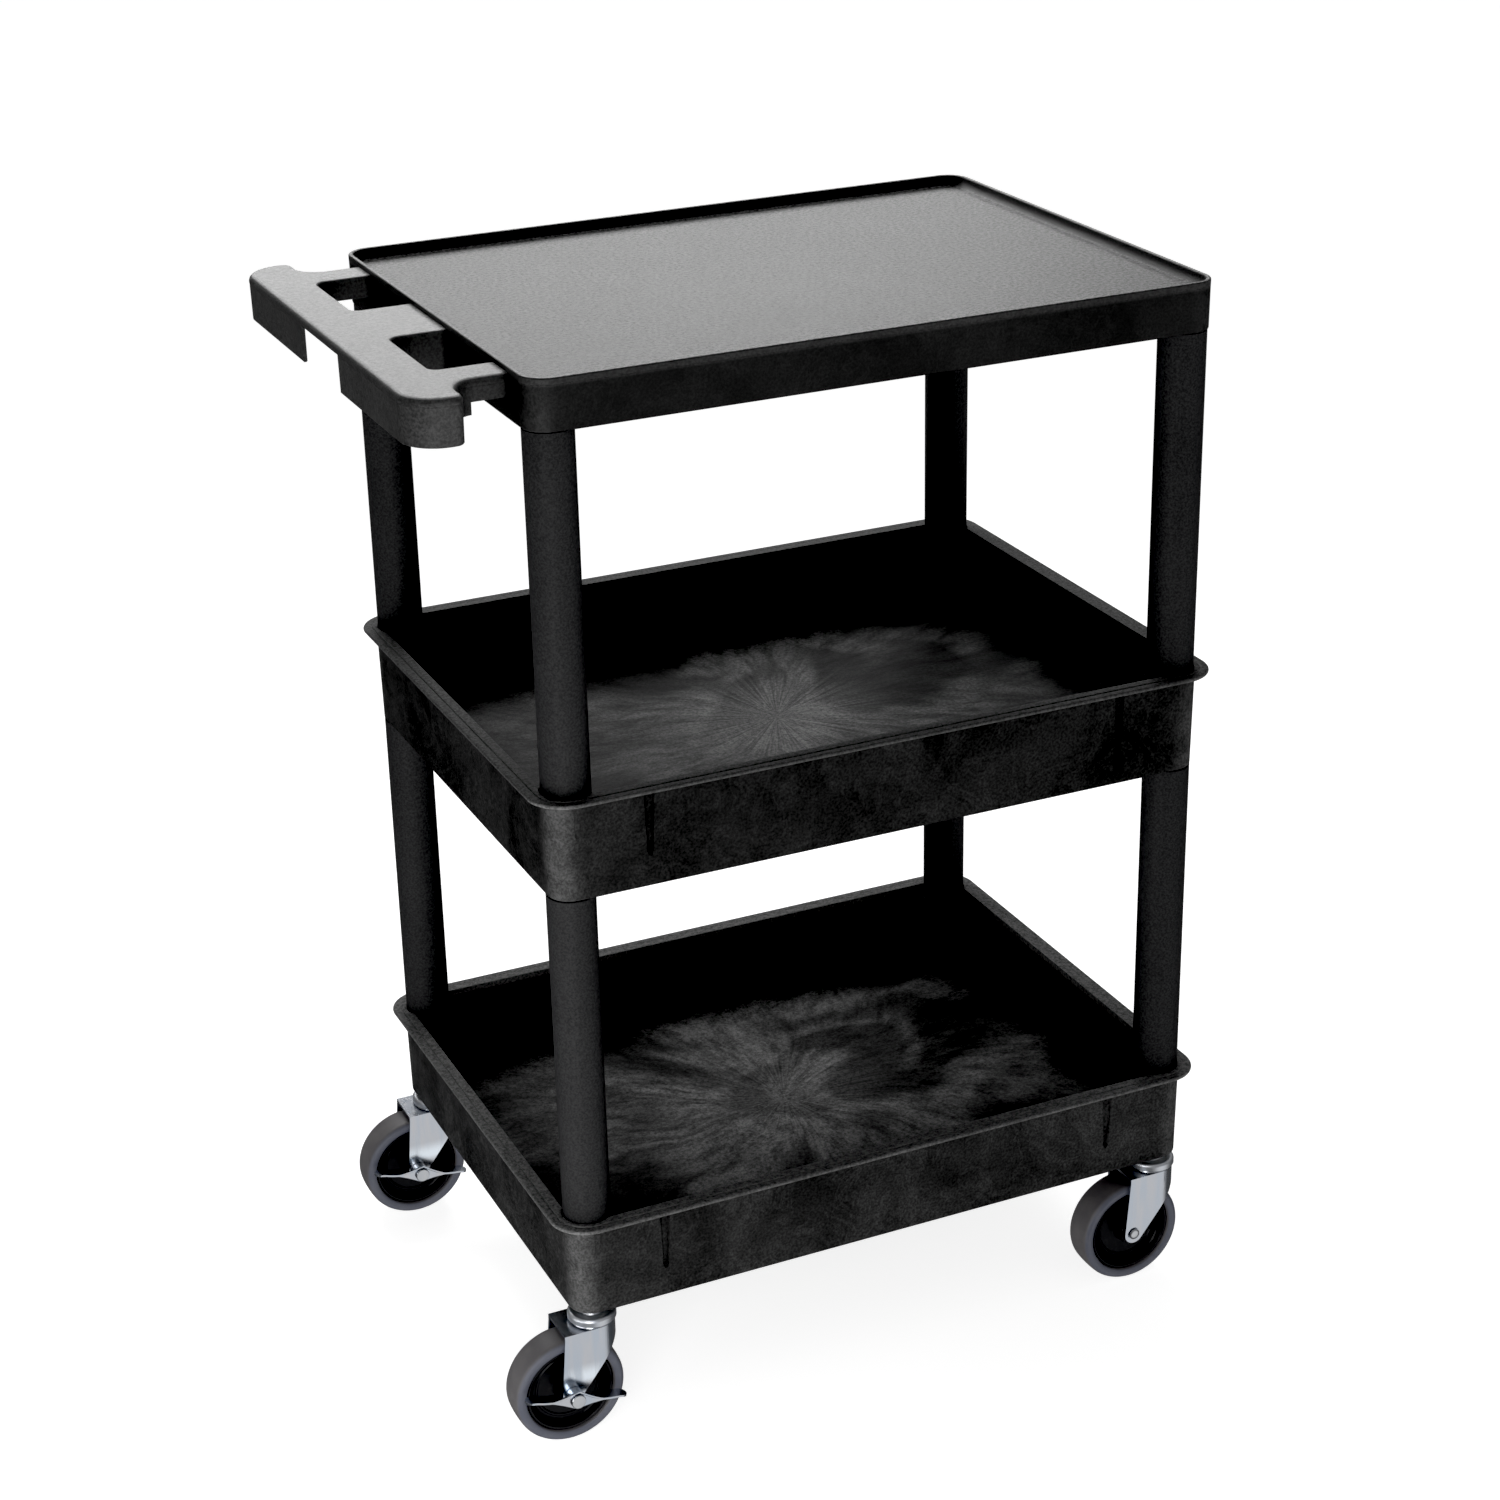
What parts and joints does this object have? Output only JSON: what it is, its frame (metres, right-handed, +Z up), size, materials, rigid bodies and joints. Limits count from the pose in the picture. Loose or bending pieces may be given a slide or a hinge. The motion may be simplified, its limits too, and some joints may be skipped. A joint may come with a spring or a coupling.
{
  "type": "rolling utility cart",
  "caption": "Black moulded utility cart on swivel casters: a flat top shelf with a push handle over two tub shelves, joined by round legs, with side-lock wheel brakes.",
  "frame": {"origin": "on the floor under the middle of the whole cart's plan, handle included; the shelves' middle is 40.5 mm from it along +X", "axes": "+Z up, +X along the shelves and away from the handle, +Y across the cart"},
  "size_m": [0.715, 0.481, 0.96],
  "materials": {
    "shelf_plastic": "structural foam polyethylene, fine pebble grain with flow marks",
    "leg_plastic": "smooth satin moulded tube",
    "core_plastic": "glossy moulded wheel core",
    "tyre_rubber": "smooth grey thermoplastic rubber",
    "zinc_steel": "bright zinc plated pressed sheet",
    "bright_steel": "turned and polished steel",
    "sleeve_plastic": "natural nylon"
  },
  "bodies": {
    "root": {"top_shelf": "shelf_plastic", "middle_tub": "shelf_plastic", "bottom_tub": "shelf_plastic", "stem_sleeves": "sleeve_plastic", "upper_leg_front_left": "leg_plastic", "upper_leg_back_left": "leg_plastic", "upper_leg_front_right": "leg_plastic", "upper_leg_back_right": "leg_plastic", "lower_leg_front_left": "leg_plastic", "lower_leg_back_left": "leg_plastic", "lower_leg_front_right": "leg_plastic", "lower_leg_back_right": "leg_plastic", "stem_front_left": "zinc_steel", "stem_back_left": "zinc_steel", "stem_front_right": "zinc_steel", "stem_back_right": "zinc_steel", "race_cup_front_left": "zinc_steel", "race_cup_back_left": "zinc_steel", "race_cup_front_right": "zinc_steel", "race_cup_back_right": "zinc_steel"},
    "fork_front_left": {"fork_front_left": "zinc_steel", "race_balls_front_left": "bright_steel", "axle_front_left": "bright_steel", "axle_nut_front_left": "bright_steel", "axle_sleeve_front_left": "bright_steel"},
    "wheel_front_left": {"wheel_core_front_left": "core_plastic", "tyre_front_left": "tyre_rubber"},
    "lever_front_left": {"brake_lever_front_left": "zinc_steel"},
    "fork_back_left": {"fork_back_left": "zinc_steel", "race_balls_back_left": "bright_steel", "axle_back_left": "bright_steel", "axle_nut_back_left": "bright_steel", "axle_sleeve_back_left": "bright_steel"},
    "wheel_back_left": {"wheel_core_back_left": "core_plastic", "tyre_back_left": "tyre_rubber"},
    "lever_back_left": {"brake_lever_back_left": "zinc_steel"},
    "fork_front_right": {"fork_front_right": "zinc_steel", "race_balls_front_right": "bright_steel", "axle_front_right": "bright_steel", "axle_nut_front_right": "bright_steel", "axle_sleeve_front_right": "bright_steel"},
    "wheel_front_right": {"wheel_core_front_right": "core_plastic", "tyre_front_right": "tyre_rubber"},
    "fork_back_right": {"fork_back_right": "zinc_steel", "race_balls_back_right": "bright_steel", "axle_back_right": "bright_steel", "axle_nut_back_right": "bright_steel", "axle_sleeve_back_right": "bright_steel"},
    "wheel_back_right": {"wheel_core_back_right": "core_plastic", "tyre_back_right": "tyre_rubber"}
  },
  "joints": [
    {"name": "swivel_front_left", "type": "hinge", "parent": "root", "child": "fork_front_left", "pos_m": [-0.2425, -0.2065, 0.112], "axis": [0, 0, 1], "continuous": true},
    {"name": "roll_front_left", "type": "hinge", "parent": "fork_front_left", "child": "wheel_front_left", "pos_m": [-0.2705, -0.2065, 0.0508], "axis": [0, 1, 0], "continuous": true},
    {"name": "brake_front_left", "type": "hinge", "parent": "fork_front_left", "child": "lever_front_left", "pos_m": [-0.2705, -0.2065, 0.0508], "axis": [0, 1, 0], "range_deg": [-20, 0]},
    {"name": "swivel_back_left", "type": "hinge", "parent": "root", "child": "fork_back_left", "pos_m": [-0.2425, 0.2065, 0.112], "axis": [0, 0, 1], "continuous": true},
    {"name": "roll_back_left", "type": "hinge", "parent": "fork_back_left", "child": "wheel_back_left", "pos_m": [-0.2705, 0.2065, 0.0508], "axis": [0, 1, 0], "continuous": true},
    {"name": "brake_back_left", "type": "hinge", "parent": "fork_back_left", "child": "lever_back_left", "pos_m": [-0.2705, 0.2065, 0.0508], "axis": [0, 1, 0], "range_deg": [-20, 0]},
    {"name": "swivel_front_right", "type": "hinge", "parent": "root", "child": "fork_front_right", "pos_m": [0.3235, -0.2065, 0.112], "axis": [0, 0, 1], "continuous": true},
    {"name": "roll_front_right", "type": "hinge", "parent": "fork_front_right", "child": "wheel_front_right", "pos_m": [0.2955, -0.2065, 0.0508], "axis": [0, 1, 0], "continuous": true},
    {"name": "swivel_back_right", "type": "hinge", "parent": "root", "child": "fork_back_right", "pos_m": [0.3235, 0.2065, 0.112], "axis": [0, 0, 1], "continuous": true},
    {"name": "roll_back_right", "type": "hinge", "parent": "fork_back_right", "child": "wheel_back_right", "pos_m": [0.2955, 0.2065, 0.0508], "axis": [0, 1, 0], "continuous": true}
  ]
}
